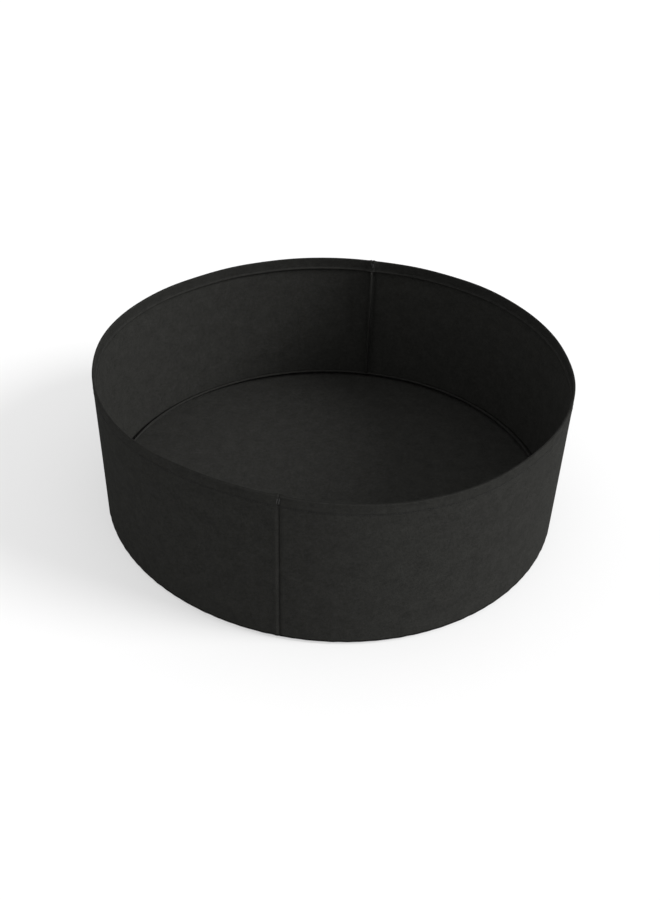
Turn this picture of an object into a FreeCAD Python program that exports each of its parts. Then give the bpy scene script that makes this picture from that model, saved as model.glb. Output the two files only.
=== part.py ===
"""Round fabric grow bag: two felt wall panels, a felt base and the threads that sew them together.

Frame: +Z up, origin at the centre of the underside, the bag's front towards -Y. Millimetres and degrees.
The front seam stands at front_seam_azimuth, counted from -Y towards +X, and the back seam opposite it.
"""

import FreeCAD, Part
import os
import Sketcher

SHEET = "Sizes"

# Driving dimensions: alias, value, what it is.
DIMENSIONS = (
    ("bag_diameter", 900, "outside diameter of the wall"),
    ("bag_height", 300, "ground to rim"),
    ("felt_thickness", 2, "needle-punched felt, about 300 g per square metre"),
    ("bend_radius", 1, "inside radius where a panel turns into a seam"),
    ("sewn_gap", 0.2, "room left between two felt faces that are sewn together"),
    ("seam_allowance", 12, "felt inside the bag, past the turn of a seam"),
    ("seam_stitch_inset", 4, "from the turn of a seam to its row of stitches"),
    ("hem_width", 25, "rim folded to the inside"),
    ("fold_gap", 0.3, "room inside the fold of the rim"),
    ("hem_stitch_inset", 5, "from the raw edge of the hem to its row of stitches"),
    ("fin_clearance", 1, "from the allowance of a vertical seam to the hem and to the base seam"),
    ("thread_diameter", 0.8, "heavy bonded sewing thread"),
    ("thread_clearance", 0.05, "room round a thread in its channel"),
    ("bartack_width", 6, "close stitching that locks a vertical seam at the rim: its size along the rim"),
    ("bartack_drop", 5, "from the rim down to the top of the bartack"),
    ("bartack_rise", 3, "from the hem's row of stitches up to the foot of the bartack"),
    ("bartack_thickness", 0.6, "how far the close stitching stands off the felt"),
    ("front_seam_azimuth", -10, "degrees from the front, towards +X"),
)


def size(alias):
    """The expression that reads one driving dimension."""
    return f"{SHEET}.{alias}"


# Sizes worked out from the driving dimensions, as expressions.
RADIUS = f"({size('bag_diameter')} / 2)"
HEIGHT = size("bag_height")
FELT = size("felt_thickness")
HALF_GAP = f"({size('sewn_gap')} / 2)"
INNER_BEND = size("bend_radius")
OUTER_BEND = f"({INNER_BEND} + {FELT})"
ALLOWANCE = size("seam_allowance")
STITCH_INSET = size("seam_stitch_inset")
THREAD_RADIUS = f"({size('thread_diameter')} / 2)"
CHANNEL_RADIUS = f"({THREAD_RADIUS} + {size('thread_clearance')})"
DIAGONAL = "sqrt(0.5)"
AZIMUTH = size("front_seam_azimuth")

# The rim: the wall folds inwards over a small gap and hangs down inside as the hem.
FOLD_OUTER = f"({FELT} + {size('fold_gap')} / 2)"
FOLD_CENTRE = (f"({RADIUS} - {FOLD_OUTER})", f"({HEIGHT} - {FOLD_OUTER})")
WALL_INSIDE_R = f"({RADIUS} - {FELT})"
HEM_OUTSIDE_R = f"({RADIUS} - {FELT} - {size('fold_gap')})"
HEM_INSIDE_R = f"({HEM_OUTSIDE_R} - {FELT})"
HEM_EDGE_Z = f"({HEIGHT} - {size('hem_width')})"
HEM_STITCH_Z = f"({HEM_EDGE_Z} + {size('hem_stitch_inset')})"

# The base seam: wall and base both turn to a line that leans inwards at 45 degrees.
WALL_FOOT_Z = f"((1 + sqrt(2)) * {OUTER_BEND} + sqrt(2) * {HALF_GAP})"
BASE_FLAT_R = f"({RADIUS} - {WALL_FOOT_Z})"
WALL_FOOT = (f"({RADIUS} - {OUTER_BEND})", WALL_FOOT_Z)
BASE_FOOT = (BASE_FLAT_R, OUTER_BEND)

# The vertical seams: the panels turn to a radial plane and run inwards as a fin.
BEND_CENTRE_X = f"({HALF_GAP} + {OUTER_BEND})"
BEND_CENTRE_Y = f"sqrt(({RADIUS} - {OUTER_BEND})^2 - {BEND_CENTRE_X}^2)"
BEND_CENTRE = (BEND_CENTRE_X, BEND_CENTRE_Y)
FIN_FACE_X = f"({HALF_GAP} + {FELT})"
FIN_STITCH = (FIN_FACE_X, f"({BEND_CENTRE_Y} - {STITCH_INSET})")
FIN_END_Y = f"({BEND_CENTRE_Y} - {ALLOWANCE})"
FIN_TOP_Z = f"({HEM_EDGE_Z} - {size('fin_clearance')})"

# Directions, as pairs of factors.
UP = ("0", "1")
DOWN = ("0", "-1")
INWARD_UP = (f"-{DIAGONAL}", DIAGONAL)
OUTWARD_DOWN = (DIAGONAL, f"-{DIAGONAL}")
OUTWARD_UP = (DIAGONAL, DIAGONAL)
INWARD_DOWN = (f"-{DIAGONAL}", f"-{DIAGONAL}")


def moved(point, distance, direction):
    """The expressions of a point moved by a distance along a direction."""
    return tuple(f"({at} + ({part}) * {distance})" for at, part in zip(point, direction))


WALL_TURN = moved(WALL_FOOT, OUTER_BEND, INWARD_DOWN)
WALL_TURN_INSIDE = moved(WALL_TURN, FELT, OUTWARD_UP)
WALL_STITCH = moved(WALL_TURN_INSIDE, STITCH_INSET, INWARD_UP)
BASE_TURN = moved(BASE_FOOT, OUTER_BEND, OUTWARD_UP)
BASE_TURN_INSIDE = moved(BASE_TURN, FELT, INWARD_DOWN)
BASE_STITCH = moved(BASE_TURN_INSIDE, STITCH_INSET, INWARD_UP)
FIN_BOTTOM_Z = f"({moved(BASE_TURN, ALLOWANCE, INWARD_UP)[1]} + {size('fin_clearance')})"

# Each wall panel stops short of the seam's plane by half the sewn gap.
PANEL_SWEEP = f"(90 - asin({HALF_GAP} / {HEM_INSIDE_R}) / 1deg)"

# The bartacks lie between the hem's stitches and the rim, and span an angle of the wall.
BARTACK_FOOT_Z = f"({HEM_STITCH_Z} + {size('bartack_rise')})"
BARTACK_HEIGHT = f"({HEIGHT} - {size('bartack_drop')} - {BARTACK_FOOT_Z})"
BARTACK_SPAN = f"({size('bartack_width')} / {RADIUS} * 180 / pi)"


def make_sheet(doc):
    """The spreadsheet that holds the driving dimensions."""
    sheet = doc.addObject("Spreadsheet::Sheet", SHEET)
    for row, (alias, value, meaning) in enumerate(DIMENSIONS, start=1):
        sheet.set(f"A{row}", alias)
        sheet.set(f"B{row}", str(value))
        sheet.set(f"C{row}", meaning)
        sheet.setAlias(f"B{row}", alias)
    doc.recompute()
    return sheet


def number(sheet, expression):
    """The value of an expression now."""
    value = sheet.evalExpression(expression)
    return float(getattr(value, "Value", value))


def corner(at, centre=None, turn=0):
    """A corner of an outline. With a centre, the edge that leaves it is an arc: turn 1 anticlockwise, -1 clockwise."""
    return {"at": at, "centre": centre, "turn": turn}


def channel(centre, direction, turn):
    """The two corners of a half-round thread channel in a straight edge that runs in that direction."""
    start = moved(centre, f"-{CHANNEL_RADIUS}", direction)
    end = moved(centre, CHANNEL_RADIUS, direction)
    return [corner(start, centre, turn), corner(end)]


def plane_of(body, role):
    """One of the body's own origin planes."""
    return next(feature for feature in body.Origin.OriginFeatures if feature.Role == role)


def vector(sheet, point):
    """A point of a sketch, from the expressions of its coordinates."""
    return FreeCAD.Vector(number(sheet, point[0]), number(sheet, point[1]), 0)


def add_edge(sketch, sheet, this, start, end):
    """Adds the line or arc that leaves a corner, and returns which of its ends lies on that corner."""
    if this["centre"] is None:
        sketch.addGeometry(Part.LineSegment(start, end), False)
        return 1
    centre = vector(sheet, this["centre"])
    circle = Part.Circle(centre, FreeCAD.Vector(0, 0, 1), centre.distanceToPoint(start))
    first, last = (start, end) if this["turn"] > 0 else (end, start)
    sketch.addGeometry(Part.ArcOfCircle(circle, circle.parameter(first), circle.parameter(last)), False)
    return 1 if this["turn"] > 0 else 2


def bind(sketch, sheet, kind, edge, end, expression):
    """Holds one coordinate of a point at an expression, or on the sketch's axis where it is zero."""
    value = number(sheet, expression)
    if abs(value) < 1e-9:
        axis = -2 if kind == "DistanceX" else -1
        sketch.addConstraint(Sketcher.Constraint("PointOnObject", edge, end, axis))
        return
    index = sketch.addConstraint(Sketcher.Constraint(kind, -1, 1, edge, end, value))
    sketch.setExpression(f"Constraints[{index}]", expression)


def add_outline(body, sheet, name, role, corners, lift=None):
    """A closed sketch of lines and arcs on one of the body's planes, with every corner and arc held in place."""
    sketch = body.newObject("Sketcher::SketchObject", name)
    sketch.AttachmentSupport = (plane_of(body, role), [""])
    sketch.MapMode = "FlatFace"
    if lift:
        sketch.setExpression("AttachmentOffset.Base.z", lift)
    points = [vector(sheet, this["at"]) for this in corners]
    ahead = points[1:] + points[:1]
    ends = [add_edge(sketch, sheet, *step) for step in zip(corners, points, ahead)]
    for i, this in enumerate(corners):
        following = (i + 1) % len(corners)
        other_end = 3 - ends[i]
        sketch.addConstraint(Sketcher.Constraint("Coincident", i, other_end, following, ends[following]))
        bind(sketch, sheet, "DistanceX", i, ends[i], this["at"][0])
        bind(sketch, sheet, "DistanceY", i, ends[i], this["at"][1])
        if this["centre"]:
            # Both ends are held, so one coordinate of the centre settles the arc: the one across its chord.
            chord = ahead[i] - points[i]
            across = 0 if abs(chord.y) >= abs(chord.x) else 1
            bind(sketch, sheet, ("DistanceX", "DistanceY")[across], i, 3, this["centre"][across])
    return sketch


def add_revolution(body, name, sketch, sweep):
    """Turns a section about the bag's axis, from the XZ plane towards +Y."""
    feature = body.newObject("PartDesign::Revolution", name)
    feature.Profile = sketch
    feature.ReferenceAxis = (sketch, ["V_Axis"])
    feature.setExpression("Angle", sweep)
    feature.Reversed = True
    return feature


def wall_plan():
    """Plan of a quarter of the wall, from the X axis round to the fin of the seam."""
    bend_start = tuple(f"({part} * {RADIUS} / ({RADIUS} - {OUTER_BEND}))" for part in BEND_CENTRE)
    bend_inside = tuple(f"({part} * {WALL_INSIDE_R} / ({RADIUS} - {OUTER_BEND}))" for part in BEND_CENTRE)
    axis = ("0", "0")
    return [
        corner((RADIUS, "0"), axis, 1),
        corner(bend_start, BEND_CENTRE, 1),
        corner((HALF_GAP, BEND_CENTRE_Y)),
        corner((HALF_GAP, FIN_END_Y)),
        corner((FIN_FACE_X, FIN_END_Y)),
        *channel(FIN_STITCH, UP, -1),
        corner((FIN_FACE_X, BEND_CENTRE_Y), BEND_CENTRE, -1),
        corner(bend_inside, axis, -1),
        corner((WALL_INSIDE_R, "0")),
    ]


def hem_section():
    """Section of the rim: up the wall, over the fold and down the hem."""
    fold_z = FOLD_CENTRE[1]
    return [
        corner((RADIUS, FIN_TOP_Z)),
        *channel((RADIUS, HEM_STITCH_Z), UP, -1),
        corner((RADIUS, fold_z), FOLD_CENTRE, 1),
        corner((HEM_INSIDE_R, fold_z)),
        *channel((HEM_INSIDE_R, HEM_STITCH_Z), DOWN, -1),
        corner((HEM_INSIDE_R, HEM_EDGE_Z)),
        corner((HEM_OUTSIDE_R, HEM_EDGE_Z)),
        corner((HEM_OUTSIDE_R, fold_z), FOLD_CENTRE, -1),
        corner((WALL_INSIDE_R, fold_z)),
        corner((WALL_INSIDE_R, FIN_TOP_Z)),
    ]


def foot_section():
    """Section of the wall's foot: down the wall, round the turn and inwards as the allowance of the base seam."""
    return [
        corner((RADIUS, FIN_BOTTOM_Z)),
        corner((RADIUS, WALL_FOOT_Z), WALL_FOOT, -1),
        corner(WALL_TURN),
        corner(moved(WALL_TURN, ALLOWANCE, INWARD_UP)),
        corner(moved(WALL_TURN_INSIDE, ALLOWANCE, INWARD_UP)),
        *channel(WALL_STITCH, OUTWARD_DOWN, 1),
        corner(WALL_TURN_INSIDE, WALL_FOOT, 1),
        corner((WALL_INSIDE_R, WALL_FOOT_Z)),
        corner((WALL_INSIDE_R, FIN_BOTTOM_Z)),
    ]


def base_section():
    """Section of the base: out along the ground, round the turn and inwards as its allowance."""
    return [
        corner(("0", "0")),
        corner((BASE_FLAT_R, "0"), BASE_FOOT, 1),
        corner(BASE_TURN),
        corner(moved(BASE_TURN, ALLOWANCE, INWARD_UP)),
        corner(moved(BASE_TURN_INSIDE, ALLOWANCE, INWARD_UP)),
        *channel(BASE_STITCH, OUTWARD_DOWN, -1),
        corner(BASE_TURN_INSIDE, BASE_FOOT, -1),
        corner((BASE_FLAT_R, FELT)),
        corner(("0", FELT)),
    ]


def make_wall_panel(doc, sheet, label, turn):
    """One of the two felt strips that make the wall: hem at the rim, fins at both ends, allowance at the foot."""
    body = doc.addObject("PartDesign::Body", label)
    body.Label = label
    plan = add_outline(body, sheet, f"{label}_plan", "XY_Plane", wall_plan(), FIN_BOTTOM_Z)
    wall = body.newObject("PartDesign::Pad", f"{label}_wall")
    wall.Profile = plan
    wall.setExpression("Length", f"{FIN_TOP_Z} - {FIN_BOTTOM_Z}")
    hem = add_outline(body, sheet, f"{label}_hem_section", "XZ_Plane", hem_section())
    add_revolution(body, f"{label}_hem", hem, PANEL_SWEEP)
    foot = add_outline(body, sheet, f"{label}_foot_section", "XZ_Plane", foot_section())
    add_revolution(body, f"{label}_foot", foot, PANEL_SWEEP)
    doc.recompute()
    half = body.newObject("PartDesign::Mirrored", f"{label}_other_half")
    half.TransformMode = "Whole shape"
    half.MirrorPlane = (plane_of(body, "XZ_Plane"), [""])
    body.Tip = half
    body.setExpression("Placement.Rotation.Angle", f"({AZIMUTH} + {turn}) * 1deg")
    return body


def make_base_panel(doc, sheet):
    """The felt disc that the bag stands on."""
    body = doc.addObject("PartDesign::Body", "base_panel")
    body.Label = "base_panel"
    section = add_outline(body, sheet, "base_section", "XZ_Plane", base_section())
    add_revolution(body, "base_disc", section, "360")
    return body


def make_ring_thread(doc, label, centre):
    """A thread that runs all the way round the bag, at a radius and height."""
    ring = doc.addObject("Part::Torus", label)
    ring.Label = label
    ring.setExpression("Radius1", centre[0])
    ring.setExpression("Radius2", THREAD_RADIUS)
    ring.setExpression("Placement.Base.z", centre[1])
    return ring


def make_seam_thread(doc, label, side, seam):
    """A thread that runs up one side (1 or -1) of the fin of the front seam (-1) or the back seam (1)."""
    thread = doc.addObject("Part::Cylinder", label)
    thread.Label = label
    x, y = f"({side} * {FIN_FACE_X})", f"({seam} * {FIN_STITCH[1]})"
    angle = f"({AZIMUTH} * 1deg)"
    thread.setExpression("Radius", THREAD_RADIUS)
    thread.setExpression("Height", f"{FIN_TOP_Z} - {FIN_BOTTOM_Z}")
    thread.setExpression("Placement.Base.x", f"{x} * cos({angle}) - {y} * sin({angle})")
    thread.setExpression("Placement.Base.y", f"{x} * sin({angle}) + {y} * cos({angle})")
    thread.setExpression("Placement.Base.z", FIN_BOTTOM_Z)
    return thread


def make_bartack_layer(doc, label, inner_radius, turn):
    """A short band of close stitching on a round face, centred on a seam."""
    blank = doc.addObject("Part::Cylinder", f"{label}_blank")
    blank.setExpression("Radius", f"{inner_radius} + {size('bartack_thickness')}")
    blank.setExpression("Angle", BARTACK_SPAN)
    core = doc.addObject("Part::Cylinder", f"{label}_core")
    core.setExpression("Radius", inner_radius)
    for cylinder in (blank, core):
        cylinder.setExpression("Height", BARTACK_HEIGHT)
    layer = doc.addObject("Part::Cut", label)
    layer.Base = blank
    layer.Tool = core
    layer.setExpression("Placement.Base.z", BARTACK_FOOT_Z)
    layer.setExpression("Placement.Rotation.Angle", f"({AZIMUTH} + {turn} - {BARTACK_SPAN} / 2) * 1deg")
    return layer


def make_bartack(doc, label, turn):
    """The bartack of one seam: its stitches show on the wall outside and on the hem inside."""
    clearance = size("thread_clearance")
    outside = f"({RADIUS} + {clearance})"
    inside = f"({HEM_INSIDE_R} - {clearance} - {size('bartack_thickness')})"
    tack = doc.addObject("Part::Compound", label)
    tack.Label = label
    tack.Links = [
        make_bartack_layer(doc, f"{label}_outside", outside, turn),
        make_bartack_layer(doc, f"{label}_inside", inside, turn),
    ]
    return tack


def make_pieces(doc, sheet):
    """Every sub-part, in the order in which the bag is sewn."""
    pieces = [
        make_wall_panel(doc, sheet, "right_wall_panel", 0),
        make_wall_panel(doc, sheet, "left_wall_panel", 180),
        make_base_panel(doc, sheet),
    ]
    for seam_name, seam in (("front", -1), ("back", 1)):
        pieces.append(make_seam_thread(doc, f"{seam_name}_seam_needle_thread", 1, seam))
        pieces.append(make_seam_thread(doc, f"{seam_name}_seam_bobbin_thread", -1, seam))
        pieces.append(make_bartack(doc, f"{seam_name}_rim_bartack", 90 * seam))
    pieces += [
        make_ring_thread(doc, "base_seam_needle_thread", WALL_STITCH),
        make_ring_thread(doc, "base_seam_bobbin_thread", BASE_STITCH),
        make_ring_thread(doc, "hem_needle_thread", (RADIUS, HEM_STITCH_Z)),
        make_ring_thread(doc, "hem_bobbin_thread", (HEM_INSIDE_R, HEM_STITCH_Z)),
    ]
    return pieces


def check(doc, pieces):
    """Stops the build if any object failed or any sub-part has no sound shape."""
    failed = [obj.Label for obj in doc.Objects if {"Invalid", "Error"} & set(obj.State)]
    if failed:
        raise RuntimeError(f"these objects failed: {failed}")
    for piece in pieces:
        shape = piece.Shape
        if shape.isNull() or not shape.isValid() or shape.Volume <= 0:
            raise RuntimeError(f"{piece.Label} has no sound shape")


def main():
    doc = FreeCAD.newDocument("fabric_grow_bag")
    sheet = make_sheet(doc)
    pieces = make_pieces(doc, sheet)
    doc.recompute()
    check(doc, pieces)
    os.makedirs("parts", exist_ok=True)
    for piece in pieces:
        box = piece.Shape.optimalBoundingBox()
        piece.Shape.exportStep(f"parts/{piece.Label}.step")
        print(
            f"{piece.Label}: {len(piece.Shape.Solids)} solid(s), {piece.Shape.Volume:.1f} mm3, "
            f"{box.XLength:.1f} x {box.YLength:.1f} x {box.ZLength:.1f} mm, z from {box.ZMin:.2f}"
        )


main()
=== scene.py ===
"""Looks of a round fabric grow bag: felt wall, felt base, stitching, light and camera.

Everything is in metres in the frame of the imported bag: +Z up, origin under the centre of the base and the
front towards -Y. An azimuth is counted from the front (-Y) towards +X.
"""

import logging
import math
from dataclasses import dataclass
from enum import Enum

import bpy
import numpy as np
from mathutils import Matrix, Vector


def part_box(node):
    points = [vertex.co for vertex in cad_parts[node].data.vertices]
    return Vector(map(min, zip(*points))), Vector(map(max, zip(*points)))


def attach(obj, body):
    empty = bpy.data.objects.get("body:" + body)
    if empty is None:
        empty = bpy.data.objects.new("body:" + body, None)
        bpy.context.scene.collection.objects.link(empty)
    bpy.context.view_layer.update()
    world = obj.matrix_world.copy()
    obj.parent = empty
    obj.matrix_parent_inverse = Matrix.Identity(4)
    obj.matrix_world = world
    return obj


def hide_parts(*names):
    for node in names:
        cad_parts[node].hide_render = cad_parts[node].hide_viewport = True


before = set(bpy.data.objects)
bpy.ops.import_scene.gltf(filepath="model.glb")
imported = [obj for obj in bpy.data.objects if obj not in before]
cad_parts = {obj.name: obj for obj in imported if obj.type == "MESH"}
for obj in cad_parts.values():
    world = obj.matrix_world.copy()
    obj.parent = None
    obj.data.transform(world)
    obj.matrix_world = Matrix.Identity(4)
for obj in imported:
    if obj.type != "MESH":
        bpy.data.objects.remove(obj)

LOG = logging.getLogger("grow_bag")
ROOT = "root"
MM = 0.001
QUARTER = math.pi / 2
DIAGONAL = math.sqrt(0.5)
SEAM_TURN = 0.75 * math.pi
SHORTEST = 1e-12
Array = np.ndarray


# ---------------- sizes


@dataclass(frozen=True)
class BagSizes:
    """The bag's sizes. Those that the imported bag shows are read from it.

    The upright seams run from fin_bottom to fin_top. wall_stitch and base_stitch are the radius and height
    of the base seam's threads. bend is the inside radius of a turn into a seam, and stitch_inset the
    distance from there to the seam's stitches, which press the felt as far away as press_reach.
    """

    radius: float
    height: float
    seam_azimuth: float
    fin_bottom: float
    fin_top: float
    hem_stitch_z: float
    wall_stitch: tuple[float, float]
    base_stitch: tuple[float, float]
    thread: float
    bartack_foot_z: float
    bartack_height: float
    felt: float = 2 * MM
    bend: float = 1 * MM
    sewn_gap: float = 0.2 * MM
    fold_gap: float = 0.3 * MM
    hem_width: float = 25 * MM
    allowance: float = 12 * MM
    stitch_inset: float = 4 * MM
    press_reach: float = 1.8 * MM
    bartack_width: float = 6 * MM

    @classmethod
    def from_frame(cls) -> "BagSizes":
        """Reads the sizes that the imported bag's nodes show.

        Returns:
            The bag's sizes.
        """
        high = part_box("right_wall_panel")[1]
        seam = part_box("front_seam_needle_thread")
        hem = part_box("hem_needle_thread")
        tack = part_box("front_rim_bartack")
        middle = (tack[0] + tack[1]) / 2
        return cls(
            radius=high.x,
            height=high.z,
            seam_azimuth=math.atan2(middle.x, -middle.y),
            fin_bottom=seam[0].z,
            fin_top=seam[1].z,
            hem_stitch_z=(hem[0].z + hem[1].z) / 2,
            wall_stitch=ring_of("base_seam_needle_thread"),
            base_stitch=ring_of("base_seam_bobbin_thread"),
            thread=hem[1].z - hem[0].z,
            bartack_foot_z=tack[0].z,
            bartack_height=tack[1].z - tack[0].z,
        )

    @property
    def outer_bend(self) -> float:
        """Outside radius of a turn into a seam."""
        return self.bend + self.felt

    @property
    def middle_bend(self) -> float:
        """Radius of a turn into a seam, in the middle of the felt."""
        return self.bend + self.felt / 2

    @property
    def foot_z(self) -> float:
        """Height at which the wall starts to turn into the base seam."""
        return (1 + math.sqrt(2)) * self.outer_bend + self.sewn_gap / math.sqrt(2)

    @property
    def base_flat_radius(self) -> float:
        """Radius at which the base starts to turn into the base seam."""
        return self.radius - self.foot_z

    def pressing(self, distance: Array) -> Array:
        """How hard a row of stitches presses the felt, from 0 to 1, at distances from it."""
        return hump(distance, self.press_reach)


def ring_of(node: str) -> tuple[float, float]:
    """Radius and height of the centre line of a thread that goes round the bag, from its node."""
    low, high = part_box(node)
    return (high.x - low.x - high.z + low.z) / 2, (high.z + low.z) / 2


class Side(Enum):
    """The two wall panels. The value turns a panel from facing the right-hand side, in degrees."""

    RIGHT = 0.0
    LEFT = 180.0

    @property
    def node(self) -> str:
        """Name of the panel's node."""
        return f"{self.name.lower()}_wall_panel"


class Seam(Enum):
    """The two upright seams. The value turns a seam from the front one, in degrees."""

    FRONT = 0.0
    BACK = 180.0

    @property
    def word(self) -> str:
        """The seam's word in the names of nodes."""
        return self.name.lower()


class Layer(Enum):
    """The two layers of felt that lie against each other at the rim."""

    WALL = 1.0
    HEM = -1.0


# ---------------- meshes


@dataclass
class Surface:
    """Points, faces and what is painted on them, ready to become a mesh.

    Faces are arrays of point numbers, one array for each number of corners.
    """

    points: Array
    faces: list[Array]
    uv: Array
    # How compressed the felt is at each point, with painted shade and darkening laid on it, from 0 to 1.
    pressed_and_shaded: Array

    def build(self, name: str, material: bpy.types.Material, slot: str) -> bpy.types.Object:
        """Makes the piece: a smooth mesh at the origin that moves with the bag.

        Args:
            name: The piece's name.
            material: Its finish.
            slot: The record's material slot for its finish. Not used.

        Returns:
            The new object.
        """
        used, renumbered = np.unique(np.concatenate([f.ravel() for f in self.faces]), return_inverse=True)
        mesh = bpy.data.meshes.new(name)
        mesh.vertices.add(len(used))
        mesh.vertices.foreach_set("co", self.points[used].astype(np.float32).ravel())
        mesh.loops.add(len(renumbered))
        mesh.loops.foreach_set("vertex_index", renumbered.astype(np.int32).ravel())
        corners = np.concatenate([np.full(len(f), f.shape[1]) for f in self.faces])
        starts = np.concatenate([[0], np.cumsum(corners)[:-1]])
        mesh.polygons.add(len(corners))
        mesh.polygons.foreach_set("loop_start", starts.astype(np.int32))
        mesh.update(calc_edges=True)
        layer = mesh.uv_layers.new(name="cloth")
        layer.data.foreach_set("uv", self.uv[used][renumbered.ravel()].astype(np.float32).ravel())
        # Compression, painted shade and darkening, which all darken the felt's colour.
        pressed_and_shaded = mesh.attributes.new("pressed_and_shaded", "FLOAT", "POINT")
        pressed_and_shaded.data.foreach_set("value", self.pressed_and_shaded[used].astype(np.float32))
        mesh.validate()
        mesh.shade_smooth()
        mesh.materials.append(material)
        piece = bpy.data.objects.new(name, mesh)
        bpy.context.scene.collection.objects.link(piece)
        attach(piece, ROOT)
        LOG.info("%s: %d points, %d faces", name, len(used), len(corners))
        return piece


def joined(surfaces: list[Surface]) -> Surface:
    """Several surfaces as one.

    Args:
        surfaces: The surfaces, whose faces have the same numbers of corners.

    Returns:
        One surface that holds them all.
    """
    first = np.cumsum([0] + [len(s.points) for s in surfaces])
    faces = [f + n for s, n in zip(surfaces, first) for f in s.faces]
    sizes = sorted({f.shape[1] for f in faces})
    return Surface(
        np.concatenate([s.points for s in surfaces]),
        [np.concatenate([f for f in faces if f.shape[1] == size]) for size in sizes],
        np.concatenate([s.uv for s in surfaces]),
        np.concatenate([s.pressed_and_shaded for s in surfaces]),
    )


@dataclass
class FeltSheet:
    """A cut of felt on a grid: its middle, its right side's direction and its thickness.

    keep says which cells of the grid are felt, so that an allowance can be narrower than its panel.
    """

    middle: Array
    normal: Array
    thickness: Array
    uv: Array
    # Compression, painted shade and darkening at each point, from 0 to 1.
    pressed_and_shaded: Array
    keep: Array
    edge_bulge: float = 0.35

    def closed(self) -> Surface:
        """Both faces of the felt and a round cut edge.

        A face lies half the thickness from the middle, along the normal. Each edge of a kept cell that no
        other kept cell shares gets two strips, over a line that stands out by edge_bulge thicknesses.

        Returns:
            The closed surface.
        """
        across, along = self.thickness.shape
        number = np.arange(across * along).reshape(across, along)
        count = across * along
        offset = self.normal * self.thickness[..., None] / 2
        cells = cell_corners(number)[self.keep]
        edges, away = self.open_edges(number)
        rim = np.zeros((count, 3))
        np.add.at(rim, edges.ravel(), away.reshape(-1, 3))
        rim = unit(rim) * (self.thickness.reshape(-1, 1) * self.edge_bulge)
        front, back, ring = edges, edges + count, edges + 2 * count
        faces = [
            cells,
            cells[:, ::-1] + count,
            np.stack([front[:, 0], front[:, 1], ring[:, 1], ring[:, 0]], axis=1),
            np.stack([ring[:, 0], ring[:, 1], back[:, 1], back[:, 0]], axis=1),
        ]
        middle = self.middle.reshape(-1, 3)
        offset = offset.reshape(-1, 3)
        return Surface(
            np.concatenate([middle + offset, middle - offset, middle + rim]),
            [np.concatenate(faces)],
            np.tile(self.uv.reshape(-1, 2), (3, 1)),
            np.tile(self.pressed_and_shaded.ravel(), 3),
        )

    def open_edges(self, number: Array) -> tuple[Array, Array]:
        """The edges of kept cells that no other kept cell shares.

        Args:
            number: The number of each point of the grid.

        Returns:
            The two points of each edge, in the order that turns its strip outwards, and the direction away
            from the felt at each of the two.
        """
        padded = np.pad(self.keep, 1)
        sides = (
            (padded[:-2, 1:-1], (0, 0), (0, 1), (1, 0)),
            (padded[2:, 1:-1], (1, 1), (1, 0), (-1, 0)),
            (padded[1:-1, :-2], (1, 0), (0, 0), (0, 1)),
            (padded[1:-1, 2:], (0, 1), (1, 1), (0, -1)),
        )
        edges, away = [], []
        for neighbour, first, second, inside in sides:
            i, j = np.nonzero(self.keep & ~neighbour)
            ends, ways = [], []
            for corner in (first, second):
                at = (i + corner[0], j + corner[1])
                ends.append(number[at])
                ways.append(unit(self.middle[at] - self.middle[at[0] + inside[0], at[1] + inside[1]]))
            edges.append(np.stack(ends, axis=1))
            away.append(np.stack(ways, axis=1))
        return np.concatenate(edges), np.concatenate(away)


def cell_corners(number: Array) -> Array:
    """The four corners of each cell of a grid, anticlockwise, from the number of each point."""
    return np.stack([number[:-1, :-1], number[1:, :-1], number[1:, 1:], number[:-1, 1:]], axis=-1)


def unit(vectors: Array) -> Array:
    """Vectors of length one along the last axis. A vector of length zero stays as it is."""
    return vectors / np.maximum(np.linalg.norm(vectors, axis=-1, keepdims=True), SHORTEST)


def fade(value: Array, start: float, end: float) -> Array:
    """Zero up to the start, one from the end, which may be lower, and 3t^2 - 2t^3 between them."""
    t = np.clip((value - start) / (end - start), 0.0, 1.0)
    return t * t * (3 - 2 * t)


def hump(distance: Array, width: Array | float) -> Array:
    """A bell curve of the distance from its middle: one at 0, about a third at the width."""
    return np.exp(-((distance / width) ** 2))


# ---------------- the bag's shape


def outward(azimuth: Array) -> Array:
    """Unit vectors straight out from the bag's axis at azimuths in radians."""
    return np.stack([np.sin(azimuth), -np.cos(azimuth), np.zeros_like(azimuth)], axis=-1)


def around(azimuth: Array) -> Array:
    """Unit vectors along the wall at azimuths in radians, towards greater azimuths."""
    return np.stack([np.cos(azimuth), np.sin(azimuth), np.zeros_like(azimuth)], axis=-1)


UPWARD = np.array([0.0, 0.0, 1.0])


@dataclass(frozen=True)
class Wave:
    """A slow wave round the bag.

    count is how many crests it has, size the height of a crest and crest the azimuth of one, in degrees.
    """

    count: int
    size: float
    crest: float

    def at(self, azimuth: Array) -> Array:
        """The wave's height at azimuths."""
        return self.size * np.cos(self.count * (azimuth - math.radians(self.crest)))


@dataclass(frozen=True)
class Ripple:
    """Small uneven waves round the bag: a sum of cosines, each with its own phase and share of the size.

    counts says how many times each cosine goes round, and seed picks the phases and the shares.
    """

    size: float
    counts: tuple[int, ...]
    seed: int
    share: tuple[float, float] = (0.6, 1.4)

    def at(self, azimuth: Array) -> Array:
        """The ripple's height, mostly between the size and minus the size.

        Args:
            azimuth: Angles from the front.

        Returns:
            Heights in metres.
        """
        draw = np.random.default_rng(self.seed)
        phases = draw.uniform(0, math.tau, len(self.counts))
        shares = draw.uniform(*self.share, len(self.counts))
        total = sum(s * np.cos(n * azimuth + p) for n, p, s in zip(self.counts, phases, shares))
        return self.size * total / math.sqrt(2 * float((shares**2).sum()))


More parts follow.
